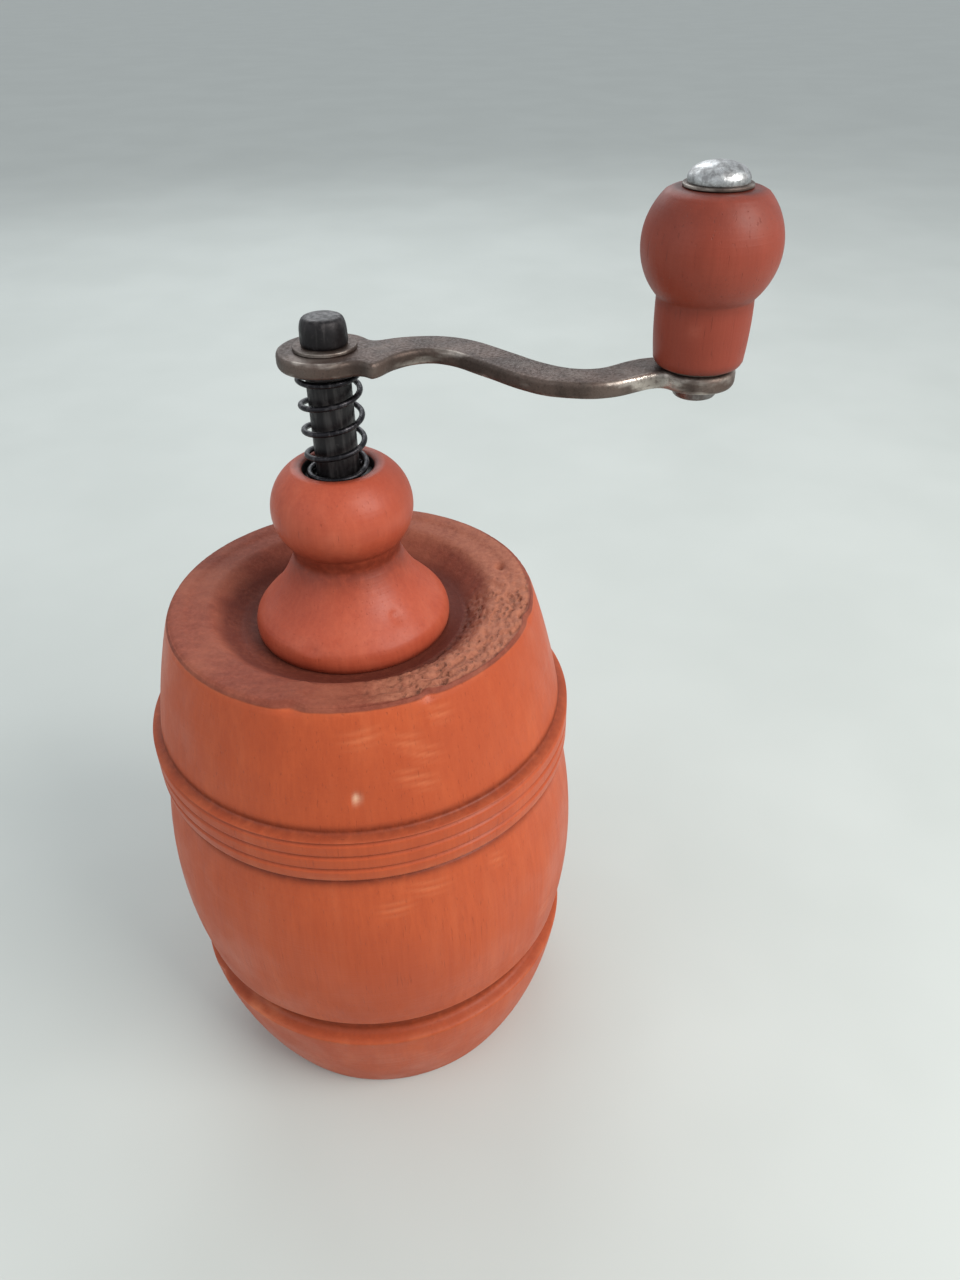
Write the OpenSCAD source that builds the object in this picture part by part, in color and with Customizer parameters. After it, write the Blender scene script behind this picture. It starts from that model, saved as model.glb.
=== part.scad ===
// Hand pepper mill with a turned wooden barrel, a sprung lid and an S-shaped crank.
// Millimetres. The foot stands on z = 0, the shaft is the Z axis and the crank points along +X.

/* [Barrel] */
// Height of the wooden barrel
barrel_h = 88.8; // [70:0.1:110]
// Radius of the belly at its widest
belly_r = 34.6; // [28:0.1:42]
// Radius of the foot where it stands
foot_r = 27.6; // [22:0.1:32]
// Radius of the foot's upper edge
foot_top_r = 33.3; // [28:0.1:38]
// Height of the foot
foot_h = 21.6; // [15:0.1:28]
// Width of the groove above the foot
foot_groove_h = 5; // [2:0.1:7]
// Radius in the bottom of the groove above the foot
foot_groove_r = 31.2; // [28:0.1:34]
// Radius of the belly's lower lip
belly_lip_r = 33; // [28:0.1:38]
// Radius of the belly's upper edge
belly_top_r = 32.4; // [28:0.1:38]
// Height of the belly's upper edge
belly_top_z = 60.2; // [50:0.1:64]
// Height of the band's lower edge
band_z = 61.6; // [58:0.1:66]
// Height of the band
band_h = 8.2; // [4:0.1:12]
// Radius of the band
band_r = 33.3; // [30:0.1:37]
// Depth of the three scribed lines round the band
scribe_d = 0.35; // [0.1:0.05:0.8]
// Radius in the two turned grooves beside the band
groove_r = 31.8; // [28:0.1:35]
// Radius of the shoulder above the band
shoulder_r = 31.6; // [28:0.1:35]
// Radius of the rim at the top
rim_r = 27.6; // [22:0.1:32]

/* [Barrel Inside] */
// Radius of the dished seat round the lid, at the top
seat_r = 20.6; // [17:0.1:23]
// Radius of the flat floor of the seat
seat_floor_r = 16; // [15.5:0.1:20]
// Depth of the dished seat
seat_d = 4.8; // [2:0.1:8]
// Radius of the filling mouth
mouth_r = 12.6; // [10:0.1:15]
// Radius of the pepper chamber
chamber_r = 19; // [15:0.1:22]
// Height of the chamber's roof
chamber_top_z = 76; // [70:0.1:79]
// Height where the chamber starts to funnel in
funnel_z = 25; // [20:0.1:30]
// Radius of the open recess in the base
base_recess_r = 22.5; // [18:0.1:24]
// Depth of the open recess in the base
base_recess_h = 9; // [6:0.1:12]

/* [Lid] */
// Radius of the lid's lower rim
lid_rim_r = 14.7; // [13:0.1:18]
// Height of the lid's straight rim
lid_rim_h = 2.6; // [1:0.1:5]
// Height of the lid's neck above the seat
lid_neck_h = 12.4; // [8:0.1:16]
// Radius of the lid's neck
lid_neck_r = 7.8; // [6:0.1:10]
// Largest radius of the lid's ball
lid_ball_r = 10.2; // [8:0.1:13]
// Height of the middle of the ball
lid_ball_z = 103.7; // [98:0.1:110]
// Radius of the rounded side of the ball
lid_ball_round = 7.3; // [5:0.1:9]
// Height of the lid's flat top
lid_top_z = 110; // [106:0.1:116]
// Depth of the lid's plug in the filling mouth
plug_h = 3; // [2:0.1:6]

/* [Spring] */
// Radius of the spring wire
wire_r = 0.4; // [0.3:0.05:0.6]
// Mean radius of the spring
spring_r = 4; // [3.6:0.05:4.4]
// Turns of the spring
spring_turns = 4.5; // [3:0.25:6]

/* [Crank] */
// Radius of the drive shaft
shaft_r = 3; // [2.5:0.1:4]
// Height of the underside of the crank arm
arm_z = 124.2; // [118:0.1:130]
// Thickness of the crank arm
arm_t = 2.1; // [1.5:0.1:3]
// Distance from the shaft to the knob
arm_reach = 47; // [40:0.1:55]
// Radius of the arm's eye on the shaft
hub_r = 6.4; // [5:0.1:8]
// Radius of the arm's eye under the knob
eye_r = 4.7; // [4.4:0.1:7]
// Radius of the round nut on top
nut_r = 3.1; // [2.6:0.1:5]
// Height of the round nut
nut_h = 3.7; // [3.4:0.1:7]

/* [Knob] */
// Radius of the knob's ball
knob_r = 8; // [6:0.1:11]
// Height of the knob
knob_h = 19.6; // [15:0.1:26]
// Radius of the knob's neck
knob_neck_r = 5.7; // [4:0.1:7]
// Radius of the knob pin
pin_r = 2; // [1.5:0.1:3]
// Radius of the pin's domed head
pin_head_r = 3.5; // [2.5:0.1:4.5]
// Height of the pin's domed head
pin_head_h = 2.2; // [1:0.1:3]

/* [Grinder] */
// Outer radius of the toothed ring
ring_r = 14.5; // [13:0.1:16]
// Height of the toothed ring
ring_h = 9; // [7:0.1:11]
// Radius of the grinding cone at its lower edge
cone_r = 10.6; // [9:0.1:12]
// How much the cone narrows for each millimetre of height
cone_slope = 0.4; // [0.3:0.05:0.6]
// Gap between the ring and the cone, across
grind_gap = 0.55; // [0.4:0.05:1]
// Teeth round the cone
cone_teeth = 10; // [6:1:16]
// Teeth round the ring
ring_teeth = 14; // [8:1:20]

/* [Hidden] */
$fn = 96;

// A hair more than a face, so that a cut goes clean through
cut = 1;
// Running clearance round a shaft or pin
run = 0.08;
// Clearance of a square that drives or slides
slip = 0.05;

wood = [0.62, 0.33, 0.17];
lid_wood = [0.55, 0.24, 0.12];
knob_wood = [0.42, 0.16, 0.09];
steel = [0.42, 0.38, 0.34];
dark_steel = [0.12, 0.11, 0.12];
zinc = [0.72, 0.72, 0.7];
brass = [0.75, 0.6, 0.3];

// Heights that follow from the barrel
seat_z = barrel_h - seat_d;
belly_z = foot_h + foot_groove_h;
belly_sag = belly_r - (belly_lip_r + belly_top_r) / 2;
shoulder_z = band_z + band_h + 1.2;
rim_round = 0.9;
foot_sag = 0.8;
shoulder_sag = 0.35;
scribe_n = 3;
scribe_step = band_h / (scribe_n + 0.2);

// Bridge under the mouth, with its bush and screws
bridge_l = 36;
bridge_w = 11;
bridge_t = 1.5;
bridge_z = chamber_top_z - bridge_t;
bush_r = 4;
bush_flange_r = 5.2;
bush_flange_t = 1.5;
bush_rise = 0.6;
screw_r = 1.1;
screw_head_r = 2.1;
screw_head_h = 1.2;
screw_l = 7;
screw_tip_h = 1.4;
slot_w = 0.5;
slot_d = 0.5;
bridge_screw_x = 15.4;

// Grinder in the base
plate_t = 1.5;
plate_z = base_recess_h - plate_t;
plate_r = base_recess_r - 0.2;
plate_hole_r = cone_r + 0.8;
plate_screw_r = 18.3;
plate_screw_n = 3;
cone_z = base_recess_h - 0.8;
cone_h = 11;
cone_hub_r = 5;
cone_hub_h = 1.6;
tooth_w = 1.1;
tooth_d = 0.9;
cone_twist = 14;
ring_throat_h = 5;
ring_mouth_r = 12.4;
cone_washer_t = 0.8;
adjust_nut_h = 3.2;
adjust_nut_r = 5.4;
adjust_nut_z = cone_z - cone_hub_h - cone_washer_t - adjust_nut_h;

// Shaft, from its threaded foot to its threaded top
square_w = 4.2;
thread_r = 2;
shaft_foot_z = 1.7;
square_z = adjust_nut_z + adjust_nut_h + cone_washer_t;
round_z = 20.4;
nut_bore_h = 3;
nut_shoulder_r = 0.98 * nut_r;
nut_shoulder_z = 0.68 * nut_h;
nut_top_r = 0.8 * nut_r;
nut_sag = 0.07;
collar_r = 5;
collar_t = 3;
collar_z = bridge_z - bush_flange_t - run - collar_t;
collar_pin_r = 0.8;
collar_pin_l = 9.4;

// Lid and spring
plug_gap = 0.4;
lid_flare_sag = 0.6;
lid_bush_r = 4;
counterbore_r = 5;
counterbore_d = 2.2;
spring_seat_t = 0.6;
spring_washer_t = 0.6;
spring_z0 = lid_top_z - counterbore_d + spring_seat_t;
spring_z1 = arm_z - spring_washer_t;
wire_sides = 8;
turn_steps = 20;

// Nut, washer and knob on the arm
arm_top_z = arm_z + arm_t;
arm_washer_t = 0.5;
arm_washer_r = 4.2;
knob_washer_t = 0.4;
knob_washer_r = 4.2;
knob_z = arm_top_z + knob_washer_t;
knob_top_z = knob_z + knob_h;
knob_ball_z = knob_top_z - 0.75 * knob_r;
knob_neck_taper = 0.3;
knob_neck_sag = 0.15;
cap_ring_t = 0.4;
cap_ring_r = 3.9;
pin_tail_r = 3.1;
pin_tail_h = 1.5;

// Plan of the arm's S-shaped strip: its front edge towards the knob, and its back edge back again
strip_front = [
    [0, -4.6], [3.2, -4.6], [6, -4.3], [7.4, -5.2], [8.5, -4], [9.4, -1.8], [11.3, 0.4], [13.7, 1.4],
    [16.5, 0.8], [19.5, -1.2], [22.3, -3.2], [25.1, -5.2], [27.7, -6.7], [30.2, -7.6], [33.5, -7.8],
    [36, -7.4], [38.4, -6.3], [40.6, -4.5], [43, -3], [47, -3.4]
];
strip_back = [
    [47, 3.4], [43, 3], [40, 1.8], [37.8, 0], [35.6, -2], [33.2, -2.7], [30.8, -2.3], [28.2, -1],
    [25.4, 1], [22.5, 3.1], [19.6, 5.1], [16.7, 6.4], [13.3, 6.9], [10.1, 6.3], [7.6, 5.2], [5.4, 3.9],
    [2.6, 4.4], [0, 4.6]
];
strip_steps = 4;

// Area between the axis and an edge from (ra, za) to (rb, zb) that bows outward by sag
module bowed(ra, za, rb, zb, sag) {
    dr = rb - ra;
    dz = zb - za;
    chord = sqrt(dr * dr + dz * dz);
    bow_r = (chord * chord / 4 + sag * sag) / (2 * sag);
    back = bow_r - sag;
    intersection() {
        translate([(ra + rb) / 2 - back * dz / chord, (za + zb) / 2 + back * dr / chord])
            circle(r = bow_r);
        translate([0, za])
            square([max(ra, rb) + sag, dz]);
    }
    translate([0, za])
        square([min(ra, rb), dz]);
}

// Area between the axis and an edge from (ra, za) to (rb, zb) that bows inward by sag
module hollowed(ra, za, rb, zb, sag) {
    dr = rb - ra;
    dz = zb - za;
    chord = sqrt(dr * dr + dz * dz);
    hollow_r = (chord * chord / 4 + sag * sag) / (2 * sag);
    out = hollow_r - sag;
    difference() {
        polygon([[0, za], [ra, za], [rb, zb], [0, zb]]);
        translate([(ra + rb) / 2 + out * dz / chord, (za + zb) / 2 - out * dr / chord])
            circle(r = hollow_r);
    }
}

// Plain band of the outline from the axis out to r
module straight(r, za, zb) {
    translate([0, za])
        square([r, zb - za]);
}

// V-shaped line scribed round the outline at height z
module scribe(z) {
    translate([band_r, z])
        rotate(45)
            square(scribe_d * sqrt(2), center = true);
}

module barrel_outline() {
    difference() {
        union() {
            bowed(foot_r, 0, foot_top_r, foot_h, foot_sag);
            straight(foot_groove_r, foot_h, belly_z);
            bowed(belly_lip_r, belly_z, belly_top_r, belly_top_z, belly_sag);
            straight(groove_r, belly_top_z, band_z);
            straight(band_r, band_z, band_z + band_h);
            straight(groove_r, band_z + band_h, shoulder_z);
            bowed(shoulder_r, shoulder_z, rim_r, barrel_h - rim_round, shoulder_sag);
            straight(rim_r - rim_round, barrel_h - rim_round, barrel_h);
            intersection() {
                straight(rim_r, barrel_h - rim_round, barrel_h);
                translate([rim_r - rim_round, barrel_h - rim_round])
                    circle(r = rim_round);
            }
        }
        for (i = [1 : scribe_n])
            scribe(band_z + scribe_step * i);
    }
}

// Everything bored out of the barrel, from the base recess up to the seat
module barrel_bores() {
    straight(base_recess_r, -cut, base_recess_h);
    straight(ring_r, 0, base_recess_h + ring_h);
    polygon([
        [0, base_recess_h + ring_h], [ring_r, base_recess_h + ring_h],
        [chamber_r, funnel_z], [0, funnel_z]
    ]);
    straight(chamber_r, funnel_z, chamber_top_z);
    straight(mouth_r, chamber_top_z - cut, seat_z + cut);
    polygon([
        [0, seat_z], [seat_floor_r, seat_z], [seat_r, barrel_h],
        [seat_r, barrel_h + cut], [0, barrel_h + cut]
    ]);
}

module bridge_screw_places() {
    for (s = [-1, 1])
        translate([s * bridge_screw_x, 0, bridge_z])
            children();
}

module plate_screw_places() {
    for (i = [0 : plate_screw_n - 1])
        rotate(60 + i * 360 / plate_screw_n)
            translate([plate_screw_r, 0, plate_z])
                children();
}

// Wood screw driven upward, with its slotted head hanging below z = 0
module screw_up() {
    difference() {
        union() {
            translate([0, 0, -screw_head_h])
                cylinder(r1 = screw_head_r * 0.7, r2 = screw_head_r, h = screw_head_h);
            cylinder(r = screw_r, h = screw_l - screw_tip_h);
            translate([0, 0, screw_l - screw_tip_h])
                cylinder(r1 = screw_r, r2 = 0.3 * screw_r, h = screw_tip_h);
        }
        translate([-screw_head_r - cut, -slot_w / 2, -screw_head_h - cut])
            cube([2 * (screw_head_r + cut), slot_w, slot_d + cut]);
    }
}

module barrel_body() {
    color(wood)
        difference() {
            rotate_extrude()
                difference() {
                    barrel_outline();
                    barrel_bores();
                }
            bridge_screw_places()
                cylinder(r = screw_r, h = screw_l);
            plate_screw_places()
                cylinder(r = screw_r, h = screw_l);
        }
}

module top_bridge() {
    color(steel)
        difference() {
            intersection() {
                translate([-bridge_l / 2, -bridge_w / 2, bridge_z])
                    cube([bridge_l, bridge_w, bridge_t]);
                translate([0, 0, bridge_z])
                    cylinder(r = bridge_l / 2, h = bridge_t);
            }
            translate([0, 0, bridge_z - cut])
                cylinder(r = bush_r, h = bridge_t + 2 * cut);
            bridge_screw_places()
                translate([0, 0, -cut])
                    cylinder(r = screw_r, h = bridge_t + 2 * cut);
        }
}

module bridge_bush() {
    color(brass)
        difference() {
            union() {
                translate([0, 0, bridge_z - bush_flange_t])
                    cylinder(r = bush_flange_r, h = bush_flange_t);
                translate([0, 0, bridge_z])
                    cylinder(r = bush_r, h = bridge_t + bush_rise);
            }
            translate([0, 0, bridge_z - bush_flange_t - cut])
                cylinder(r = shaft_r + run, h = bush_flange_t + bridge_t + bush_rise + 2 * cut);
        }
}

module bridge_screws() {
    color(zinc)
        bridge_screw_places()
            screw_up();
}

// Slots that leave teeth on a cone of radius r at height z, leaning with its side
module tooth_slots(n, r, z, length, depth, twist) {
    for (i = [0 : n - 1])
        rotate(i * 360 / n)
            translate([r, 0, z])
                rotate([twist, -atan(cone_slope), 0])
                    translate([-depth, -tooth_w / 2, -cut])
                        cube([2 * depth, tooth_w, length + 2 * cut]);
}

module burr_ring() {
    throat_r = cone_r + grind_gap - cone_slope * (base_recess_h - cone_z);
    waist_r = throat_r - cone_slope * ring_throat_h;
    color(dark_steel)
        difference() {
            translate([0, 0, base_recess_h])
                rotate_extrude()
                    polygon([
                        [throat_r, 0], [ring_r, 0], [ring_r, ring_h],
                        [ring_mouth_r, ring_h], [waist_r, ring_throat_h]
                    ]);
            tooth_slots(ring_teeth, throat_r + tooth_d * 0.5, base_recess_h, ring_throat_h, tooth_d, -cone_twist);
        }
}

module burr_plate() {
    color(steel)
        translate([0, 0, plate_z])
            difference() {
                cylinder(r = plate_r, h = plate_t);
                translate([0, 0, -cut])
                    cylinder(r = plate_hole_r, h = plate_t + 2 * cut);
                translate([0, 0, -plate_z])
                    plate_screw_places()
                        translate([0, 0, -cut])
                            cylinder(r = screw_r, h = plate_t + 2 * cut);
            }
}

module plate_screws() {
    color(zinc)
        plate_screw_places()
            screw_up();
}

module centred_square(z0, z1, w) {
    translate([-w / 2, -w / 2, z0])
        cube([w, w, z1 - z0]);
}

module drive_shaft() {
    color(dark_steel)
        difference() {
            union() {
                translate([0, 0, shaft_foot_z])
                    cylinder(r = thread_r, h = square_z - shaft_foot_z);
                centred_square(square_z, round_z, square_w);
                translate([0, 0, round_z])
                    cylinder(r = shaft_r, h = arm_z - round_z);
                centred_square(arm_z, arm_top_z, square_w);
                translate([0, 0, arm_top_z])
                    cylinder(r = thread_r, h = arm_washer_t + nut_bore_h - run);
            }
            translate([0, 0, collar_z + collar_t / 2])
                rotate([90, 0, 0])
                    cylinder(r = collar_pin_r, h = 4 * shaft_r, center = true);
        }
}

module thrust_collar() {
    color(steel)
        difference() {
            translate([0, 0, collar_z])
                cylinder(r = collar_r, h = collar_t);
            translate([0, 0, collar_z - cut])
                cylinder(r = shaft_r, h = collar_t + 2 * cut);
            translate([0, 0, collar_z + collar_t / 2])
                rotate([90, 0, 0])
                    cylinder(r = collar_pin_r, h = 4 * collar_r, center = true);
        }
}

module collar_pin() {
    color(zinc)
        translate([0, 0, collar_z + collar_t / 2])
            rotate([90, 0, 0])
                cylinder(r = collar_pin_r, h = collar_pin_l, center = true);
}

// Smooth curve through the points p, with strip_steps steps from each to the next
function smooth(p) = [
    for (i = [0 : len(p) - 2], k = [0 : strip_steps - 1])
        let (
            t = k / strip_steps,
            a = p[max(i - 1, 0)],
            b = p[i],
            c = p[i + 1],
            d = p[min(i + 2, len(p) - 1)]
        )
        b + t / 2 * (c - a + t * (2 * a - 5 * b + 4 * c - d + t * (3 * b - a - 3 * c + d)))
];

module arm_plan() {
    circle(r = hub_r);
    translate([arm_reach, 0])
        circle(r = eye_r);
    polygon(concat(smooth(strip_front), smooth(strip_back)));
}

module crank_arm() {
    color(steel)
        difference() {
            translate([0, 0, arm_z])
                linear_extrude(arm_t)
                    arm_plan();
            centred_square(arm_z - cut, arm_top_z + cut, square_w);
            translate([arm_reach, 0, arm_z - cut])
                cylinder(r = pin_r, h = arm_t + 2 * cut);
        }
}

// Flat ring with its underside at z
module washer(z, r, bore_r, t) {
    translate([0, 0, z])
        difference() {
            cylinder(r = r, h = t);
            translate([0, 0, -cut])
                cylinder(r = bore_r, h = t + 2 * cut);
        }
}

module arm_washer() {
    color(steel)
        washer(arm_top_z, arm_washer_r, thread_r, arm_washer_t);
}

module crank_nut() {
    z = arm_top_z + arm_washer_t;
    color(dark_steel)
        difference() {
            translate([0, 0, z])
                rotate_extrude() {
                    bowed(nut_r, 0, nut_shoulder_r, nut_shoulder_z, nut_sag);
                    bowed(nut_shoulder_r, nut_shoulder_z, nut_top_r, nut_h, 2 * nut_sag);
                }
            translate([0, 0, z - cut])
                cylinder(r = thread_r, h = nut_bore_h + cut);
        }
}

module knob_washer() {
    color(steel)
        translate([arm_reach, 0, 0])
            washer(arm_top_z, knob_washer_r, pin_r, knob_washer_t - run / 2);
}

module knob_pin() {
    head_z = knob_top_z + run / 2 + cap_ring_t;
    dome_r = (pin_head_r * pin_head_r + pin_head_h * pin_head_h) / (2 * pin_head_h);
    color(zinc)
        translate([arm_reach, 0, 0]) {
            translate([0, 0, arm_z - pin_tail_h])
                cylinder(r1 = pin_tail_r * 0.8, r2 = pin_tail_r, h = pin_tail_h);
            translate([0, 0, arm_z])
                cylinder(r = pin_r, h = head_z - arm_z);
            intersection() {
                translate([0, 0, head_z + pin_head_h - dome_r])
                    sphere(r = dome_r);
                translate([0, 0, head_z])
                    cylinder(r = pin_head_r + cut, h = pin_head_h + cut);
            }
        }
}

module knob_cap_ring() {
    color(dark_steel)
        translate([arm_reach, 0, 0])
            washer(knob_top_z + run / 2, cap_ring_r, pin_r, cap_ring_t);
}

module knob_grip() {
    neck_top_z = knob_ball_z - sqrt(knob_r * knob_r - knob_neck_r * knob_neck_r);
    color(knob_wood)
        translate([arm_reach, 0, 0])
            rotate_extrude()
                difference() {
                    union() {
                        bowed(knob_neck_r - knob_neck_taper, knob_z, knob_neck_r, neck_top_z, knob_neck_sag);
                        intersection() {
                            translate([0, knob_ball_z])
                                circle(r = knob_r);
                            straight(knob_r, neck_top_z - cut, knob_top_z);
                        }
                    }
                    straight(pin_r + run, knob_z - cut, knob_top_z + cut);
                }
}

module burr_cone() {
    color(dark_steel)
        difference() {
            union() {
                translate([0, 0, cone_z - cone_hub_h])
                    cylinder(r = cone_hub_r, h = cone_hub_h);
                translate([0, 0, cone_z])
                    cylinder(r1 = cone_r, r2 = cone_r - cone_slope * cone_h, h = cone_h);
            }
            tooth_slots(cone_teeth, cone_r, cone_z, cone_h, tooth_d, cone_twist);
            centred_square(cone_z - cone_hub_h - cut, cone_z + cone_h + cut, square_w + 2 * slip);
        }
}

module cone_washer() {
    color(zinc)
        washer(cone_z - cone_hub_h - cone_washer_t, cone_hub_r, shaft_r + slip, cone_washer_t);
}

module adjust_nut() {
    color(brass)
        translate([0, 0, adjust_nut_z])
            difference() {
                cylinder(r = adjust_nut_r, h = adjust_nut_h, $fn = 6);
                translate([0, 0, -cut])
                    cylinder(r = thread_r + slip, h = adjust_nut_h + 2 * cut);
            }
}

module lid_outline() {
    neck_z = seat_z + lid_neck_h;
    straight(mouth_r - plug_gap, seat_z - plug_h, seat_z);
    straight(lid_rim_r, seat_z, seat_z + lid_rim_h);
    hollowed(lid_rim_r, seat_z + lid_rim_h, lid_neck_r, neck_z, lid_flare_sag);
    straight(lid_neck_r, neck_z, lid_ball_z);
    intersection() {
        translate([lid_ball_r - lid_ball_round, lid_ball_z])
            circle(r = lid_ball_round);
        straight(lid_ball_r, lid_ball_z - lid_ball_round, lid_top_z);
    }
}

module lid() {
    color(lid_wood)
        rotate_extrude()
            difference() {
                lid_outline();
                straight(lid_bush_r, seat_z - plug_h - cut, lid_top_z);
                straight(counterbore_r, lid_top_z - counterbore_d, lid_top_z + cut);
            }
}

module lid_bush() {
    z0 = seat_z - plug_h;
    color(brass)
        washer(z0, lid_bush_r, shaft_r + run, lid_top_z - counterbore_d - z0);
}

module spring_seat() {
    color(steel)
        washer(lid_top_z - counterbore_d, counterbore_r - run, shaft_r + run, spring_seat_t);
}

// Round wire wound in a helix between the lid and the arm
function wire_point(s, k) =
    let (
        turn = 360 * spring_turns * s,
        side = 360 * k / wire_sides,
        r = spring_r + wire_r * cos(side),
        z = spring_z0 + wire_r + (spring_z1 - spring_z0 - 2 * wire_r) * s + wire_r * sin(side)
    )
    [r * cos(turn), r * sin(turn), z];

module lid_spring() {
    n = spring_turns * turn_steps;
    points = [for (i = [0 : n], k = [0 : wire_sides - 1]) wire_point(i / n, k)];
    sides = [
        for (i = [0 : n - 1], k = [0 : wire_sides - 1])
            let (a = i * wire_sides + k, b = i * wire_sides + (k + 1) % wire_sides)
                [a, a + wire_sides, b + wire_sides, b]
    ];
    first = [for (k = [0 : wire_sides - 1]) k];
    last = [for (k = [0 : wire_sides - 1]) n * wire_sides + wire_sides - 1 - k];
    color(dark_steel)
        polyhedron(points, concat([first], sides, [last]));
}

module spring_washer() {
    color(steel)
        washer(spring_z1, counterbore_r, shaft_r, spring_washer_t);
}

barrel_body();
top_bridge();
bridge_bush();
bridge_screws();
burr_ring();
burr_plate();
plate_screws();
drive_shaft();
thrust_collar();
collar_pin();
crank_arm();
arm_washer();
crank_nut();
knob_washer();
knob_pin();
knob_cap_ring();
knob_grip();
burr_cone();
cone_washer();
adjust_nut();
lid();
lid_bush();
spring_seat();
lid_spring();
spring_washer();
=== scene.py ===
# Old hand pepper mill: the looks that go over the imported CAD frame.
# Outlines are in millimetres and as (radius, height). Objects are in metres.

import math

import bpy
from mathutils import Matrix, Vector, noise


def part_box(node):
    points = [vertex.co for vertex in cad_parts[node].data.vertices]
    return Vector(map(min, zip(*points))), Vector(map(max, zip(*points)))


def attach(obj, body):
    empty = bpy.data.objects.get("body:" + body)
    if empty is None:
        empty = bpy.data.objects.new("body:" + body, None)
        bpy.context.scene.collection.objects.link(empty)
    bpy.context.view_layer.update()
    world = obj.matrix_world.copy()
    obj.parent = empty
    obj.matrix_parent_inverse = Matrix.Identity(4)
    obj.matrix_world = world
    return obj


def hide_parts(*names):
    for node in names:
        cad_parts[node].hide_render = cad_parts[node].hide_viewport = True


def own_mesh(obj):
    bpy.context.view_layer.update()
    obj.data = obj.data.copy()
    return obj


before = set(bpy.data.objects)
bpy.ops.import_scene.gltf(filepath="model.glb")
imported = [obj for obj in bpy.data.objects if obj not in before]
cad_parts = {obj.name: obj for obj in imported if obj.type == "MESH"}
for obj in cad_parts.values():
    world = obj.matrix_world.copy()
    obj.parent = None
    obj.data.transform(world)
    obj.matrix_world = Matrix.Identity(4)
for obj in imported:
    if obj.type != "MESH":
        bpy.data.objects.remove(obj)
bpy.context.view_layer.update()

MM = 0.001


def low_high(node):
    """Lowest and highest corner of a CAD node, in millimetres."""
    lo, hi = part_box(node)
    return Vector(lo) / MM, Vector(hi) / MM


barrel_lo, barrel_hi = low_high("barrel_body")
lid_lo, lid_hi = low_high("lid")
arm_lo, arm_hi = low_high("crank_arm")
knob_lo, knob_hi = low_high("knob_grip")
knob_x = (knob_lo.x + knob_hi.x) / 2
barrel_top = barrel_hi.z


# ---------------------------------------------------------------- outlines

def bow(start, end, sag, count=12):
    """Points from start to end, bowed by sag to the right of the way along."""
    a, b = Vector(start), Vector(end)
    way = (b - a).normalized()
    side = Vector((way.y, -way.x))
    points = []
    for i in range(count + 1):
        t = i / count
        p = a.lerp(b, t) + side * sag * 4 * t * (1 - t)
        points.append((p.x, p.y, 0))
    return points


def arc(centre_r, centre_z, radius, start_deg, end_deg, count=16):
    """Points on a circle in the outline, between two angles."""
    points = []
    for i in range(count + 1):
        t = math.radians(start_deg + (end_deg - start_deg) * i / count)
        points.append((centre_r + radius * math.cos(t), centre_z + radius * math.sin(t), 0))
    return points


def fillet(points, closed=True, steps=4):
    """Turns corners given as (r, z, size) into a smooth outline of (r, z) points."""
    outline = []
    for i, (r, z, size) in enumerate(points):
        corner = Vector((r, z))
        if size == 0 or (not closed and i in (0, len(points) - 1)):
            outline.append(corner)
            continue
        before = Vector(points[i - 1][:2]) - corner
        after = Vector(points[(i + 1) % len(points)][:2]) - corner
        start = corner + before.normalized() * min(size, before.length * 0.45)
        end = corner + after.normalized() * min(size, after.length * 0.45)
        for k in range(steps + 1):
            t = k / steps
            outline.append(start * (1 - t) ** 2 + corner * 2 * t * (1 - t) + end * t * t)
    return outline


def even_out(outline, step, closed=True):
    """Splits long stretches so that no two neighbours are more than step(point) apart."""
    result = []
    last = len(outline) if closed else len(outline) - 1
    for i in range(last):
        a, b = outline[i], outline[(i + 1) % len(outline)]
        parts = max(1, math.ceil((b - a).length / step((a + b) / 2)))
        result += [a.lerp(b, k / parts) for k in range(parts)]
    if not closed:
        result.append(outline[-1])
    return result


# ---------------------------------------------------------------- meshes

def make_object(name, points, faces, material, masks=None):
    """Smooth mesh object from points in millimetres, with one value per point in each mask."""
    mesh = bpy.data.meshes.new(name)
    mesh.from_pydata([Vector(p) * MM for p in points], [], faces)
    mesh.polygons.foreach_set("use_smooth", [True] * len(mesh.polygons))
    for mask, values in (masks or {}).items():
        attribute = mesh.attributes.new(mask, "FLOAT", "POINT")
        attribute.data.foreach_set("value", values)
    mesh.materials.append(material)
    mesh.validate()
    piece = bpy.data.objects.new(name, mesh)
    bpy.context.collection.objects.link(piece)
    return piece


def stand_for(piece, node, body):
    """The piece replaces a CAD node and moves with its body."""
    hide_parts(node)
    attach(piece, body)
    return piece


def lathe(name, outline, material, centre=(0, 0), turns=128, closed=True, shape=None, masks=None):
    """Turns an outline round the vertical line at centre.

    shape(r, z, angle) gives a small change (out, up), and each mask is a rule(r, z, angle).
    """
    points, faces, rings = [], [], []
    values = {mask: [] for mask in (masks or {})}
    for p in outline:
        on_axis = p.x < 1e-6
        rings.append((len(points), on_axis))
        for j in range(1 if on_axis else turns):
            angle = 2 * math.pi * j / turns
            out, up = shape(p.x, p.y, angle) if shape else (0, 0)
            r = p.x + out
            points.append((centre[0] + r * math.cos(angle), centre[1] + r * math.sin(angle), p.y + up))
            for mask, rule in (masks or {}).items():
                values[mask].append(rule(p.x, p.y, angle))
    for i in range(len(rings) if closed else len(rings) - 1):
        (a, a_pole), (b, b_pole) = rings[i], rings[(i + 1) % len(rings)]
        for j in range(turns):
            k = (j + 1) % turns
            if a_pole:
                faces.append((a, b + k, b + j))
            elif b_pole:
                faces.append((a + j, a + k, b))
            else:
                faces.append((a + j, a + k, b + k, b + j))
    return make_object(name, points, faces, material, values)


def near(value, target, width):
    """1 at target, falling smoothly to 0 a few widths away."""
    return math.exp(-((value - target) / width) ** 2)


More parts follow.
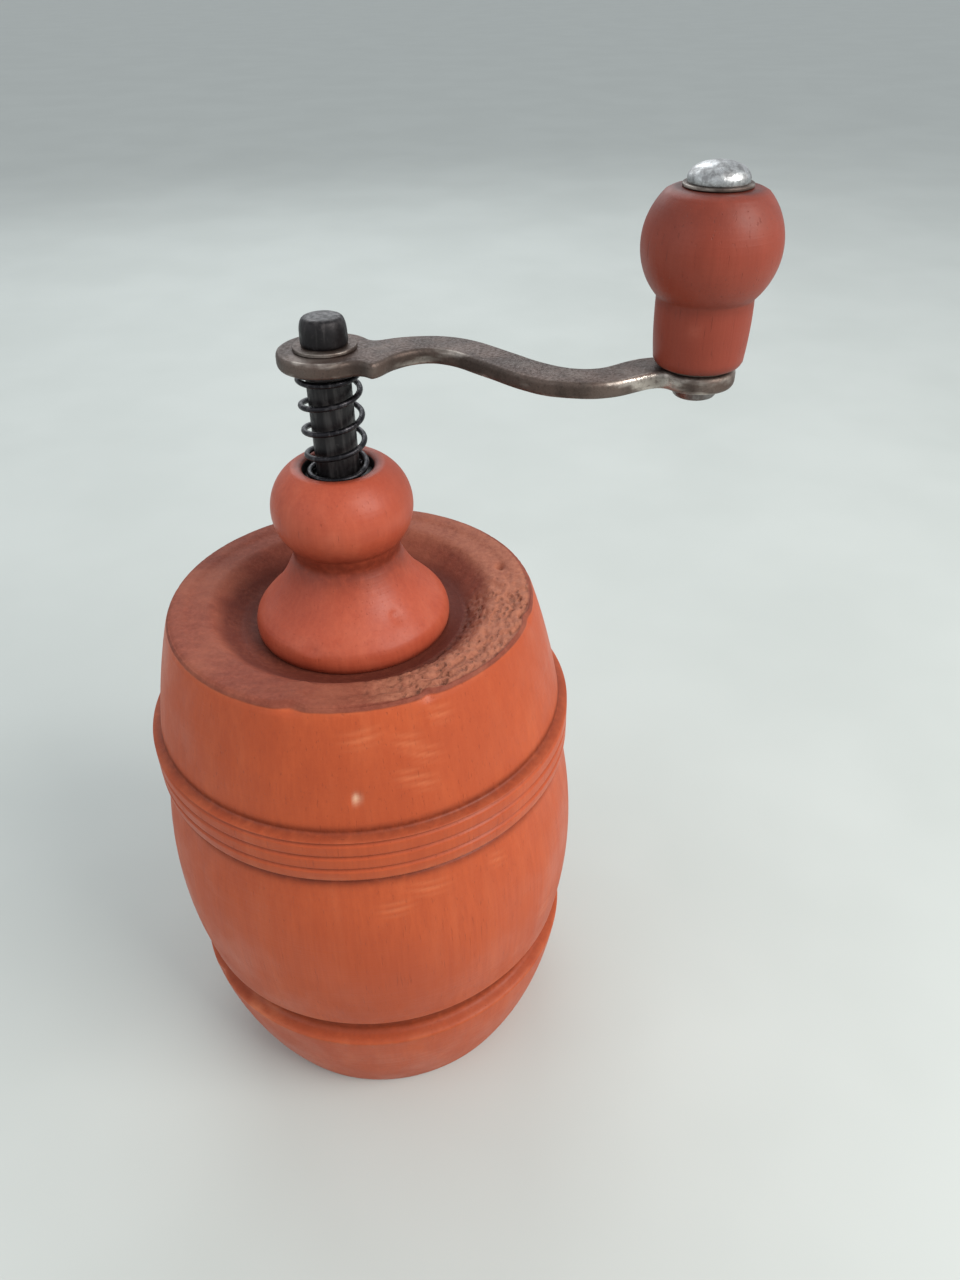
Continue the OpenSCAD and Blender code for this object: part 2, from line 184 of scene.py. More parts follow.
def turn_gap(angle, degrees):
    """Angle between a direction and one given in degrees, in radians, up to half a turn."""
    return abs((angle - math.radians(degrees) + math.pi) % (2 * math.pi) - math.pi)


def speck(r, z, angle, scale, seed=0.0):
    """Smooth noise over a round surface, from about -1 to 1."""
    return noise.noise(Vector((r * math.cos(angle) * scale, r * math.sin(angle) * scale, z * scale + seed)))


# ---------------------------------------------------------------- materials

class Shader:
    """A node material with short calls for the nodes that this object needs. Distances are in millimetres."""

    def __init__(self, name, roughness=0.5, metallic=0.0, specular=0.5):
        self.material = bpy.data.materials.new(name)
        self.material.use_nodes = True
        self.nodes = self.material.node_tree.nodes
        self.links = self.material.node_tree.links
        self.surface = self.nodes["Principled BSDF"]
        self.surface.inputs["Roughness"].default_value = roughness
        self.surface.inputs["Metallic"].default_value = metallic
        self.surface.inputs["Specular IOR Level"].default_value = specular
        self.place = self.nodes.new("ShaderNodeTexCoord").outputs["Object"]

    def put(self, socket, value):
        """Links an output to a socket, or sets a plain value on it."""
        if isinstance(value, bpy.types.NodeSocket):
            self.links.new(value, socket)
        elif isinstance(value, (tuple, list)) and len(value) == 3 and socket.type == "RGBA":
            socket.default_value = (*value, 1)
        else:
            socket.default_value = value

    def scaled(self, per_mm, shift=(0, 0, 0)):
        """Position times a number of cells per millimetre, on each axis."""
        mapping = self.nodes.new("ShaderNodeMapping")
        self.put(mapping.inputs["Vector"], self.place)
        mapping.inputs["Scale"].default_value = [v / MM for v in per_mm]
        mapping.inputs["Location"].default_value = shift
        return mapping.outputs["Vector"]

    def noise(self, per_mm, detail=4.0, roughness=0.55, distortion=0.0, shift=(0, 0, 0)):
        node = self.nodes.new("ShaderNodeTexNoise")
        self.put(node.inputs["Vector"], self.scaled(per_mm, shift))
        node.inputs["Scale"].default_value = 1
        node.inputs["Detail"].default_value = detail
        node.inputs["Roughness"].default_value = roughness
        node.inputs["Distortion"].default_value = distortion
        return node.outputs["Fac"]

    def growth_rings(self, spacing, pith, distortion):
        """Growth rings of a trunk whose middle is at pith, in millimetres."""
        node = self.nodes.new("ShaderNodeTexWave")
        node.wave_type = "RINGS"
        node.rings_direction = "Z"
        size = math.pi / 10 / spacing
        shift = (-pith[0] * size, -pith[1] * size, 0)
        self.put(node.inputs["Vector"], self.scaled((size, size, size * 0.04), shift))
        node.inputs["Scale"].default_value = 1
        node.inputs["Distortion"].default_value = distortion
        node.inputs["Detail"].default_value = 3
        node.inputs["Detail Scale"].default_value = 2.5
        return node.outputs["Fac"]

    def cells(self, per_mm):
        """Distance to the middle of the nearest cell of an irregular pattern."""
        node = self.nodes.new("ShaderNodeTexVoronoi")
        self.put(node.inputs["Vector"], self.scaled(per_mm))
        node.inputs["Scale"].default_value = 1
        node.inputs["Randomness"].default_value = 1.0
        return node.outputs["Distance"]

    def mask(self, name):
        """One of the values that the mesh holds for each point."""
        node = self.nodes.new("ShaderNodeAttribute")
        node.attribute_name = name
        return node.outputs["Fac"]

    def band(self, value, low, high, to_low=0.0, to_high=1.0):
        """Maps low..high to to_low..to_high, smoothly and clamped."""
        node = self.nodes.new("ShaderNodeMapRange")
        node.interpolation_type = "SMOOTHSTEP"
        names = ("Value", "From Min", "From Max", "To Min", "To Max")
        for name, v in zip(names, (value, low, high, to_low, to_high)):
            self.put(node.inputs[name], v)
        return node.outputs["Result"]

    def math(self, operation, a, b):
        node = self.nodes.new("ShaderNodeMath")
        node.operation = operation
        self.put(node.inputs[0], a)
        self.put(node.inputs[1], b)
        return node.outputs[0]

    def mix(self, amount, a, b):
        """Color a where amount is 0, and b where it is 1."""
        node = self.nodes.new("ShaderNodeMix")
        node.data_type = "RGBA"
        node.blend_type = "MIX"
        self.put(node.inputs["Factor"], amount)
        self.put(node.inputs[6], a)
        self.put(node.inputs[7], b)
        return node.outputs[2]

    def bump(self, height, depth_mm, under=None):
        node = self.nodes.new("ShaderNodeBump")
        node.inputs["Distance"].default_value = depth_mm * MM
        node.inputs["Strength"].default_value = 1
        self.put(node.inputs["Height"], height)
        if under:
            self.put(node.inputs["Normal"], under)
        return node.outputs["Normal"]

    def finish(self, color, roughness, normal=None):
        self.put(self.surface.inputs["Base Color"], color)
        self.put(self.surface.inputs["Roughness"], roughness)
        if normal:
            self.put(self.surface.inputs["Normal"], normal)
        return self.material


def turned_wood(name, deep, mid, light, soil_and_shade, pith, coat):
    """Stained, satin-finished wood turned on a lathe, with fibres along Z."""
    s = Shader(name, specular=0.24)
    s.surface.inputs["Coat Weight"].default_value = coat
    s.surface.inputs["Coat Roughness"].default_value = 0.38
    rings = s.growth_rings(3.4, pith, 2.2)
    fibres = s.noise((1.5, 1.5, 0.045), detail=6, roughness=0.65)
    streaks = s.noise((0.35, 0.35, 0.018), detail=3, shift=(3.1, 7.7, 0))
    blotches = s.noise((0.05, 0.05, 0.04), detail=3, shift=(9.3, 1.2, 4.4))
    pores = s.band(s.noise((4.2, 4.2, 0.22), detail=2, shift=(5, 5, 5)), 0.63, 0.74)
    color = s.mix(s.band(fibres, 0.3, 0.72, 0.55, 1.0), deep, mid)
    color = s.mix(s.band(streaks, 0.45, 0.72, 0, 0.13), color, light)
    color = s.mix(s.math("MULTIPLY", rings, 0.10), color, deep)
    color = s.mix(s.band(blotches, 0.4, 0.66, 0, 0.45), color, deep)
    color = s.mix(s.math("MULTIPLY", pores, 0.2), color, soil_and_shade)
    fine = s.noise((0.9, 0.9, 0.9), detail=5)
    soft = s.noise((0.3, 0.3, 0.3), detail=4)
    # Lighter where the mesh's mask says: abraded stain, and on some pieces painted highlights and sheen.
    abrasion_and_sheen_amount = s.math("MULTIPLY", s.mask("abrasion_and_sheen"), s.band(soft, 0.38, 0.68, 0.15, 1.0))
    color = s.mix(abrasion_and_sheen_amount, color, light)
    # Darker where the mesh's mask says: dirty wood, and painted shade in grooves, dishes and under overhangs.
    soil_shade_amount = s.math("MULTIPLY", s.mask("soil_and_shade"), s.band(fine, 0.2, 0.6, 0.6, 1.0))
    color = s.mix(soil_shade_amount, color, soil_and_shade)
    lines = s.noise((0.02, 0.02, 2.6), detail=3)
    normal = s.bump(lines, 0.03)
    normal = s.bump(fibres, 0.03, normal)
    normal = s.bump(pores, -0.03, normal)
    rough = s.band(s.noise((0.12, 0.12, 0.1), detail=5), 0.3, 0.7, 0.36, 0.56)
    return s, color, rough, normal


BARREL_PITH = (-46, 58)


def barrel_wood():
    """Terracotta stained wood. The top is bare torn end grain and the inside is raw."""
    s, color, rough, normal = turned_wood(
        "barrel_wood",
        deep=(0.36, 0.056, 0.017),
        mid=(0.48, 0.086, 0.025),
        light=(0.62, 0.165, 0.065),
        soil_and_shade=(0.085, 0.012, 0.005),
        pith=BARREL_PITH,
        coat=0.05)
    end = s.mask("end_grain")
    torn = s.mask("torn")
    hollow = s.mask("hollow")
    tissue = s.noise((1.3, 1.3, 1.3), detail=8, roughness=0.7)
    arcs = s.growth_rings(2.6, BARREL_PITH, 3.0)
    brown = s.mix(s.band(tissue, 0.3, 0.75), (0.19, 0.040, 0.021), (0.27, 0.068, 0.038))
    brown = s.mix(s.math("MULTIPLY", arcs, 0.22), brown, (0.13, 0.027, 0.014))
    cloud = s.band(s.noise((0.11, 0.11, 0.11), detail=4), 0.4, 0.7)
    brown = s.mix(s.math("MULTIPLY", cloud, 0.35), brown, (0.42, 0.135, 0.075))
    crumbs = s.math("MULTIPLY", s.band(torn, 0.1, 0.8), s.band(tissue, 0.3, 0.7, 0.35, 1.0))
    brown = s.mix(crumbs, brown, (0.37, 0.135, 0.078))
    pits = s.math("MULTIPLY", torn, s.band(s.cells((1.0, 0.7, 0.9)), 0.05, 0.6, 1.0, 0.0))
    pits = s.math("MULTIPLY", pits, s.band(s.noise((0.45, 0.45, 0.45), detail=3), 0.4, 0.6, 0.2, 1.0))
    brown = s.mix(s.math("MULTIPLY", pits, 0.5), brown, (0.11, 0.030, 0.017))
    # Painted light: the right of the top ring drawn paler, on top of paler grain.
    pale = s.math("MULTIPLY", s.mask("pale"), s.band(tissue, 0.35, 0.65, 0.35, 0.8))
    brown = s.mix(pale, brown, (0.42, 0.155, 0.088))
    # Painted shade with dirty wood in the dish round the lid.
    soil_shade_amount = s.math("MULTIPLY", hollow, s.band(tissue, 0.3, 0.6, 0.6, 1.0))
    brown = s.mix(soil_shade_amount, brown, (0.105, 0.018, 0.009))
    color = s.mix(end, color, brown)
    raw = s.mix(s.band(tissue, 0.3, 0.7), (0.32, 0.17, 0.085), (0.46, 0.27, 0.14))
    color = s.mix(s.mask("raw"), color, raw)
    # Painted highlights on the tool marks, and a pale scuffed patch on the foot.
    color = s.mix(s.mask("scuff_and_highlight"), color, (0.78, 0.26, 0.115))
    color = s.mix(s.mask("chip"), color, (0.72, 0.44, 0.29))
    rough = s.band(s.math("ADD", end, s.mask("raw")), 0.0, 1.0, rough, 0.72)
    normal = s.bump(pits, -0.4, normal)
    normal = s.bump(s.math("MULTIPLY", end, tissue), 0.12, normal)
    return s.finish(color, rough, normal)


def lid_wood():
    """The barrel's stain, a little pinker, with painted shade: the spring's hole drawn near black."""
    s, color, rough, normal = turned_wood(
        "lid_wood",
        deep=(0.33, 0.050, 0.024),
        mid=(0.46, 0.088, 0.041),
        light=(0.60, 0.17, 0.095),
        soil_and_shade=(0.085, 0.012, 0.006),
        pith=(-30, 14),
        coat=0.08)
    # Painted shade: the wall of the spring's hole drawn near black.
    color = s.mix(s.mask("black"), color, (0.012, 0.008, 0.008))
    return s.finish(color, rough, normal)


def knob_wood():
    """Darker brown-red wood, handled smooth."""
    s, color, rough, normal = turned_wood(
        "knob_wood",
        deep=(0.21, 0.035, 0.018),
        mid=(0.26, 0.046, 0.025),
        light=(0.36, 0.09, 0.055),
        soil_and_shade=(0.045, 0.009, 0.006),
        pith=(knob_x - 22, 12),
        coat=0.04)
    return s.finish(color, rough, normal)


def aged_steel():
    """Flat steel gone dark brown, polished by hands along its edges."""
    s = Shader("aged_steel", metallic=0.7, specular=0.25)
    patches = s.noise((0.22, 0.22, 0.22), detail=6, roughness=0.62)
    grit = s.noise((2.4, 2.4, 2.4), detail=5)
    spread = s.noise((0.16, 0.16, 0.5), detail=3, shift=(2.0, 6.0, 0))
    color = s.mix(s.band(patches, 0.36, 0.64), (0.046, 0.029, 0.023), (0.095, 0.062, 0.050))
    color = s.mix(s.band(grit, 0.5, 0.72, 0, 0.5), color, (0.028, 0.018, 0.014))
    # Bare polished steel, with painted highlights along the arm's side and front edge.
    polish_and_glint = s.math("MULTIPLY", s.mask("abrasion_and_sheen"), s.band(spread, 0.47, 0.66, 0.12, 1.0))
    polish_and_glint = s.math("MULTIPLY", polish_and_glint, s.band(grit, 0.3, 0.5, 0.5, 1.0))
    color = s.mix(polish_and_glint, color, (0.50, 0.45, 0.40))
    rough = s.band(polish_and_glint, 0.0, 1.0, s.band(grit, 0.3, 0.7, 0.42, 0.62), 0.26)
    normal = s.bump(patches, 0.14)
    normal = s.bump(grit, 0.05, normal)
    return s.finish(color, rough, normal)


def dark_metal(name, dark, light, rough_low, rough_high, metallic):
    """Blackened or oiled steel with faint rubbed streaks."""
    s = Shader(name, metallic=metallic)
    grit = s.noise((1.6, 1.6, 1.6), detail=6)
    streaks = s.noise((1.2, 1.2, 0.12), detail=4)
    color = s.mix(s.band(streaks, 0.48, 0.72), dark, light)
    color = s.mix(s.band(grit, 0.58, 0.74, 0, 0.5), color, light)
    rough = s.band(grit, 0.3, 0.7, rough_low, rough_high)
    return s.finish(color, rough, s.bump(grit, 0.05))


def zinc_rivet():
    """Dull mottled zinc of the pin's domed head, drawn dark brown at its tail."""
    s = Shader("zinc_rivet", metallic=0.95)
    mottle = s.noise((1.1, 1.1, 1.1), detail=6, roughness=0.7)
    spots = s.cells((1.4, 1.4, 1.4))
    color = s.mix(s.band(mottle, 0.38, 0.6), (0.25, 0.25, 0.25), (0.52, 0.53, 0.53))
    color = s.mix(s.band(spots, 0.0, 0.22, 0.5, 0.0), color, (0.2, 0.19, 0.18))
    color = s.mix(s.mask("dark_tail"), color, (0.085, 0.06, 0.05))
    normal = s.bump(mottle, 0.09)
    return s.finish(color, s.band(mottle, 0.3, 0.7, 0.46, 0.24), normal)


def plain_metal(name, low, high, grain, rough_low, rough_high, depth):
    """Bare or plated metal: a rolled sheet, a screw, brass or a cast burr."""
    s = Shader(name, metallic=1.0)
    tone = s.noise(grain, detail=6, roughness=0.6)
    stain = s.noise((0.25, 0.25, 0.25), detail=5)
    color = s.mix(s.band(tone, 0.35, 0.65), low, high)
    color = s.mix(s.band(stain, 0.5, 0.72, 0, 0.5), color, low)
    return s.finish(color, s.band(stain, 0.3, 0.7, rough_low, rough_high), s.bump(tone, depth))


def floor_paint():
    """Pale matt floor with very faint clouds."""
    s = Shader("floor_paint", specular=0.25)
    tone = s.noise((0.012, 0.012, 0.012), detail=3)
    color = s.mix(s.band(tone, 0.3, 0.7), (0.50, 0.53, 0.505), (0.535, 0.565, 0.54))
    return s.finish(color, s.band(tone, 0.3, 0.7, 0.6, 0.7))


# ---------------------------------------------------------------- barrel

# Directions are in degrees, counter-clockwise from the knob's side as seen from above.
MOUTH_R = 12.6
SEAT_FLOOR_R = 15.9
SEAT_Z = lid_lo.z + 3
CHAMBER_R = 19
CHAMBER_TOP_Z = 76
RING_BORE_R = 14.6
OUTLET_R = 22.5
OUTLET_Z = 9
# Heights of the scribed lines on the band, the grooves with their half widths, and the abraded edges; the
# grooves also carry painted shade and the edges painted highlights
SCRIBES = (64.16, 66.73, 69.29)
GROOVES = ((23.8, 1.9), (60.9, 0.9), (70.5, 0.75))
EDGES = (0.7, 21.4, 26.9, 62.2, 69.75, 88.3)
# Damage on the rim and side: direction, height, half width, half height, depth
DENTS = (
    (269, 88.6, 1.5, 0.9, 0.9), (308, 88.5, 0.9, 1.0, 0.7), (356, 88.7, 1.3, 0.8, 0.6),
    (95, 88.6, 1.2, 0.8, 0.7), (285.4, 75.7, 0.45, 0.9, 0.45), (150, 66.5, 1.4, 0.6, 0.35),
    (225, 21.2, 1.1, 0.7, 0.5), (40, 45, 1.6, 0.8, 0.35),
)
# Small chip with bare wood, and a rubbed patch on the foot: direction, height, half width, half height
CHIP = (285.4, 75.7, 0.36, 0.75)
RUBBED = (245, 21.4, 3.2, 1.5)
# Shallow curved marks of the tool: direction, height, length in degrees, tilt
TOOL_MARKS = (
    (288, 84.2, 9, 0.16), (300, 82.6, 7, -0.2), (304, 80.4, 8, -0.26), (299, 77.6, 6, -0.1),
    (303, 76.2, 5, -0.2), (310, 85.2, 6, -0.15), (301, 57.4, 9, -0.12), (321, 57.0, 4, -0.3),
    (292, 55.0, 7, 0.05), (30, 79.0, 8, 0.1), (120, 80, 9, 0.2), (60, 52, 8, -0.15),
    (190, 76, 7, 0.12), (215, 50, 9, -0.1), (340, 36, 8, 0.1),
)
# End grain of the top: direction of its palest part, which is partly painted light, and the middle and half
# width of its torn part
PALE_MIDDLE = 5
TORN_MIDDLE = 336
TORN_HALF = math.radians(50)
HOLE_DIRECTION = 28.7
HOLE_R = 23.8


def barrel_outline():
    """Foot, groove, belly, scribed band, shoulder, top ring, dished seat and the stepped bores."""
    side = [(27.2, 0, 0.7)]
    side += bow((27.6, 0.9), (33.2, 20.8), 0.75)
    side += [(33.3, 21.6, 0.7), (31.3, 22.3, 0.7), (31.3, 25.5, 0.7), (33.0, 26.7, 0.6)]
    side += bow((33.1, 27.6), (32.55, 59.9), 1.72, 24)
    side += [(32.3, 60.5, 0.4), (31.85, 60.9, 0.4), (32.3, 61.4, 0.3), (33.15, 61.9, 0.4)]
    for z in SCRIBES:
        side += [(33.3, z - 0.42, 0.2), (32.88, z, 0.12), (33.3, z + 0.42, 0.2)]
    side += [(33.2, 69.8, 0.25), (31.85, 70.2, 0.4), (31.8, 70.8, 0.4)]
    side += bow((31.75, 71.3), (27.85, 87.4), 0.3, 14)
    ring = [(27.45, 88.35, 0.5), (26.9, barrel_top, 0.5), (25.2, 88.75, 0.6), (24.2, 88.4, 0.8),
            (22.9, 88.35, 0.8)]
    seat = [(21.3, 88.2, 1.2), (19.4, 86.6, 1.5), (17.4, 84.9, 1.4), (SEAT_FLOOR_R, SEAT_Z + 0.2, 0.8),
            (15.0, SEAT_Z, 0.2)]
    inside = [(MOUTH_R, SEAT_Z, 0.5), (MOUTH_R, CHAMBER_TOP_Z, 0.2), (CHAMBER_R, CHAMBER_TOP_Z, 0.3),
              (CHAMBER_R, 25, 2), (RING_BORE_R, 18, 0.4), (RING_BORE_R, OUTLET_Z, 0.2),
              (OUTLET_R, OUTLET_Z, 0.2), (OUTLET_R, 0, 0.5)]
    return fillet(side + ring + seat + inside)


def barrel_step(p):
    """Close points on the torn top, wider ones on the side and inside."""
    if p.y > 83 and p.x > MOUTH_R + 1:
        return 0.5
    if p.x > 26:
        return 0.45 if p.y > 50 else 0.8
    return 4.0


def on_side(r, z):
    """True on the turned outside of the barrel, below its rim."""
    return r > 26 and z < 88.4


def torn_at(r, z, angle):
    """How torn the end grain is: all of the front right of the top, from the lid to the rim."""
    if z < 84.6 or r > 27.2 or r < SEAT_FLOOR_R:
        return 0.0
    patch = max(0.0, 1 - (turn_gap(angle, TORN_MIDDLE) / TORN_HALF) ** 2)
    inner = min(1.0, (r - SEAT_FLOOR_R) / 1.5)
    outer = min(1.0, (27.2 - r) / 0.5)
    return min(1.0, 1.5 * patch * inner * outer + 0.05 * outer)


def hollow_at(r, z, angle):
    """Dark dirty wood and painted shade in the dish round the lid, where the lid shades it: wide at the left
    and front, narrow at the right.
    """
    if z < 83.5 or r > 24:
        return 0.0
    width = 4.9 + 1.3 * math.cos(angle - math.radians(245)) + 0.5 * speck(r, z, angle, 0.35, 4.0)
    return 0.9 * min(1.0, max(0.0, (14.8 + width - r) / 1.6))


def pale_at(r, z, angle):
    """Paler end grain on the right of the top ring, which is partly painted light: the lit side drawn
    lighter.
    """
    if r >= 26.8:
        return 0.0
    return max(0.0, math.cos(angle - math.radians(PALE_MIDDLE))) * min(1.0, max(0.0, z - 87))


def edge_abrasion_and_sheen_at(r, z, angle):
    """Lighter wood along the turned edges: abraded stain, and painted highlights on the ridges."""
    if not on_side(r, z):
        return 0.0
    return 0.34 * max(near(z, edge, 0.5) for edge in EDGES)


def groove_soil_and_shade_at(r, z, angle):
    """Darker wood in the grooves and the scribed lines: dirty wood, and painted shade where the grooves fall
    in shadow.
    """
    if not on_side(r, z):
        return 0.0
    grooves = max(0.72 * near(z, height, width) for height, width in GROOVES)
    lines = max(0.4 * near(z, height, 0.22) for height in SCRIBES)
    return max(grooves, lines)


def chip_at(r, z, angle):
    """Bare wood in the small chip below the rim."""
    if r <= 26:
        return 0.0
    degrees, height, half_w, half_h = CHIP
    return min(1.0, 1.3 * near(turn_gap(angle, degrees) * r, 0, half_w) * near(z, height, half_h))


def marks_at(r, z, angle):
    """Strength of the tool's curved marks, from 0 to 1."""
    total = 0.0
    for degrees, height, length, tilt in TOOL_MARKS:
        along = (angle - math.radians(degrees) + math.pi) % (2 * math.pi) - math.pi
        if abs(along) < math.radians(length) * 1.3:
            across = z - height - tilt * along * r - 0.25 * (along * r / 3) ** 2
            lines = near(across, 0, 0.3) + 0.6 * near(across, 1.15, 0.3) + 0.35 * near(across, -1.05, 0.3)
            total += lines * near(along, 0, math.radians(length) / 2)
    return min(1.0, total)


def scuff_and_highlight_at(r, z, angle):
    """Pale strokes along the tool marks, which are painted highlights, and pale wood in a scuffed patch on
    the front left of the foot.
    """
    if not on_side(r, z):
        return 0.0
    degrees, height, half_w, half_h = RUBBED
    patch = near(turn_gap(angle, degrees) * r, 0, half_w) * near(z, height, half_h)
    patch *= min(1.0, max(0.0, 0.6 + 1.2 * speck(r, z, angle, 0.8, 6.0)))
    return min(1.0, 0.3 * marks_at(r, z, angle) + 0.45 * patch)


def barrel_shape(r, z, angle):
    """Unevenness of the turning, tool marks, dents, the torn top and a small hole in it."""
    out = up = 0.0
    if r > 26.5 and z < 88.8:
        out -= 0.10 + 0.10 * speck(r, z, angle, 0.05)
        out -= 0.16 * marks_at(r, z, angle)
    if r > 22:
        for degrees, height, half_w, half_h, depth in DENTS:
            near_dent = near(turn_gap(angle, degrees) * r, 0, half_w) * near(z, height, half_h)
            out -= depth * near_dent
    torn = torn_at(r, z, angle)
    if torn > 0:
        up -= torn * (0.30 + 0.5 * speck(r, z, angle, 0.9) + 0.4 * speck(r, z, angle, 2.1, 5.0))
        up -= 0.06 + 0.10 * speck(r, z, angle, 0.12)
        up = min(up, 0.0)
        hole = near(turn_gap(angle, HOLE_DIRECTION) * r, 0, 0.6) * near(r, HOLE_R, 0.6)
        up -= 0.9 * hole
    if r > 27 and z > 87.5:
        out -= 0.12 * max(0.0, speck(r, z, angle, 1.4, 2.0))
    return out, up


def build_barrel(material):
    """Barrel with its turned outside, worn top and stepped bores."""
    masks = {
        "abrasion_and_sheen": edge_abrasion_and_sheen_at,
        "scuff_and_highlight": scuff_and_highlight_at,
        "soil_and_shade": groove_soil_and_shade_at,
        "end_grain": lambda r, z, a: float(z > 88.0 or (z > 83.5 and r < 25)),
        "hollow": hollow_at,
        "torn": torn_at,
        "pale": pale_at,
        "raw": lambda r, z, a: float((z < 83.5 and r < 25) or z < 0.1),
        "chip": chip_at,
    }
    outline = even_out(barrel_outline(), barrel_step)
    piece = lathe("barrel", outline, material, turns=288, shape=barrel_shape, masks=masks)
    return stand_for(piece, "barrel_body", "barrel")


# ---------------------------------------------------------------- lid and knob

# Dents of the lid: direction, height, half width, half height, depth
LID_DENTS = ((319.7, 90.2, 0.9, 0.7, 0.4), (262, 87.5, 1.2, 0.6, 0.25), (120, 103, 1.0, 1.0, 0.25))
PLUG_R = MOUTH_R - 0.4
SPRING_HOLE_R = 5.0
SPRING_HOLE_DEPTH = 2.2
LINER_R = 4.05


def lid_outline():
    """Plug, flared bell, neck and flattened ball, with a hole for the spring and a bore for the liner."""
    plug, top = lid_lo.z, lid_hi.z
    hole_floor = top - SPRING_HOLE_DEPTH
    outline = [(PLUG_R, plug, 0.4), (PLUG_R, SEAT_Z, 0), (14.3, SEAT_Z, 0.3), (14.66, SEAT_Z + 0.9, 0.5)]
    outline += [(14.66, 86.0, 0.8), (14.3, 87.3, 1.0), (13.45, 88.3, 0.8)]
    outline += bow((12.9, 88.9), (8.3, 95.4), -0.42)
    outline += [(7.85, 96.4, 0.7), (7.85, 97.2, 0.5)]
    outline += arc(2.9, 103.7, 7.3, -43, 60, 24)
    outline += [(5.4, top - 0.02, 0.4), (4.98, top - 0.35, 0.3), (SPRING_HOLE_R, hole_floor, 0)]
    outline += [(LINER_R, hole_floor, 0), (LINER_R, plug, 0.2)]
    return fillet(outline)


def lid_shape(r, z, angle):
    """Slight unevenness and dents on the outside of the lid."""
    out = 0.0
    if r > 5.5:
        out -= 0.05 + 0.06 * speck(r, z, angle, 0.12)
        for degrees, height, half_w, half_h, depth in LID_DENTS:
            out -= depth * near(turn_gap(angle, degrees) * r, 0, half_w) * near(z, height, half_h)
    return out, 0.0


def lid_abrasion_and_sheen(r, z, angle):
    """Lighter wood round the ball and the bell, in patches: abraded stain, and painted highlights on their
    round flanks.
    """
    if r <= 7:
        return 0.0
    return 0.4 * (near(z, 104, 4) + near(z, 88.5, 2.6)) * (0.4 + 0.6 * speck(r, z, angle, 0.22, 3))


def lid_soil_and_shade(r, z, angle):
    """Darker wood in the neck, at the seat and round the spring's hole: dirty wood, and painted shade under
    the ball, where the bell meets the dish and inside the hole.
    """
    if r <= 5.04:
        return 1.0
    return min(1.0, 0.75 * near(z, 97.4, 3.0) + 0.5 * near(z, 84.2, 0.9) + 0.75 * near(r, 5.2, 1.0))


def build_lid(material):
    """Turned lid in the shape of a finial."""
    # Painted shade: marks the wall of the spring's hole, to be drawn near black.
    black = lambda r, z, a: float(r < 5.05 and z > 100)
    masks = {"abrasion_and_sheen": lid_abrasion_and_sheen, "soil_and_shade": lid_soil_and_shade, "black": black}
    outline = even_out(lid_outline(), lambda p: 0.5 if p.x > 5 else 4.0)
    piece = lathe("lid_finial", outline, material, turns=160, shape=lid_shape, masks=masks)
    return stand_for(piece, "lid", "lid")


KNOB_BALL_R = 7.98
KNOB_BALL_DROP = 6.0
PIN_BORE_R = 2.08


def knob_outline():
    """Neck that widens a little upward, under a ball with a small flat top."""
    bottom, top = knob_lo.z, knob_hi.z
    middle = top - KNOB_BALL_DROP
    outline = [(PIN_BORE_R, bottom, 0.15), (5.0, bottom, 0.5)]
    outline += bow((5.38, bottom + 0.7), (5.68, middle - 5.75), 0.12, 8)
    outline += arc(0, middle, KNOB_BALL_R, -44.2, 44, 24)
    outline += [(4.9, top - 0.02, 0.6), (PIN_BORE_R, top, 0.2)]
    return fillet(outline)


def knob_wear(r, z, angle):
    """Lighter wood round the ball, and a pale spot on the front left of the neck."""
    ball = 0.2 * near(z, knob_hi.z - 6, 4) * (0.4 + 0.6 * speck(r, z, angle, 0.3, 8))
    spot = 0.9 * near(turn_gap(angle, 262) * r, 0, 0.9) * near(z, knob_lo.z + 5, 0.9)
    return ball + spot


def knob_soil_and_shade(r, z, angle):
    """Darker wood under the ball, at the bottom, round the pin's head and over the top of the ball: dirty
    wood, and painted shade under the ball's overhang, at the washer and round the pin's head.
    """
    top = knob_hi.z
    low = 0.25 * near(z, top - 11.8, 0.9) + 0.4 * near(z, knob_lo.z, 0.8)
    crown = 0.7 * near(r, 4.4, 0.9) * float(z > top - 1)
    return min(1.0, low + crown + 0.25 * near(z, top - 1.5, 1.8))


def build_knob(material):
    """Turned knob round the pin."""
    masks = {"abrasion_and_sheen": knob_wear, "soil_and_shade": knob_soil_and_shade}
    shape = lambda r, z, a: ((-0.03 + 0.05 * speck(r, z, a, 0.16)) if r > 4 else 0.0, 0.0)
    outline = even_out(knob_outline(), lambda p: 0.45 if p.x > 3 else 4.0)
    piece = lathe("knob", outline, material, (knob_x, 0), 128, shape=shape, masks=masks)
    return stand_for(piece, "knob_grip", "knob")


# ---------------------------------------------------------------- crank and spring

def flat_loops(node, height):
    """Closed edge loops of the flat face of a CAD node at a height in millimetres."""
    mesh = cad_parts[node].data
    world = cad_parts[node].matrix_world
    spots = [world @ v.co / MM for v in mesh.vertices]
    key = lambda i: (round(spots[i].x, 3), round(spots[i].y, 3))
    used = {}
    for face in mesh.polygons:
        corners = list(face.vertices)
        if all(abs(spots[i].z - height) < 1e-3 for i in corners):
            for a, b in zip(corners, corners[1:] + corners[:1]):
                used[key(a), key(b)] = used.get((key(a), key(b)), 0) + 1
    follow = {}
    for (a, b) in used:
        if (b, a) not in used and a != b:
            follow[a] = b
    loops = []
    while follow:
        start, here = next(iter(follow.items()))
        loop = [start]
        follow.pop(start)
        while here != start and here in follow:
            loop.append(here)
            here = follow.pop(here)
        loops.append([Vector(p) for p in loop])
    return loops


def loop_area(loop):
    """Area inside a loop, above zero when it runs counter-clockwise."""
    return sum(a.x * b.y - b.x * a.y for a, b in zip(loop, loop[1:] + loop[:1])) / 2


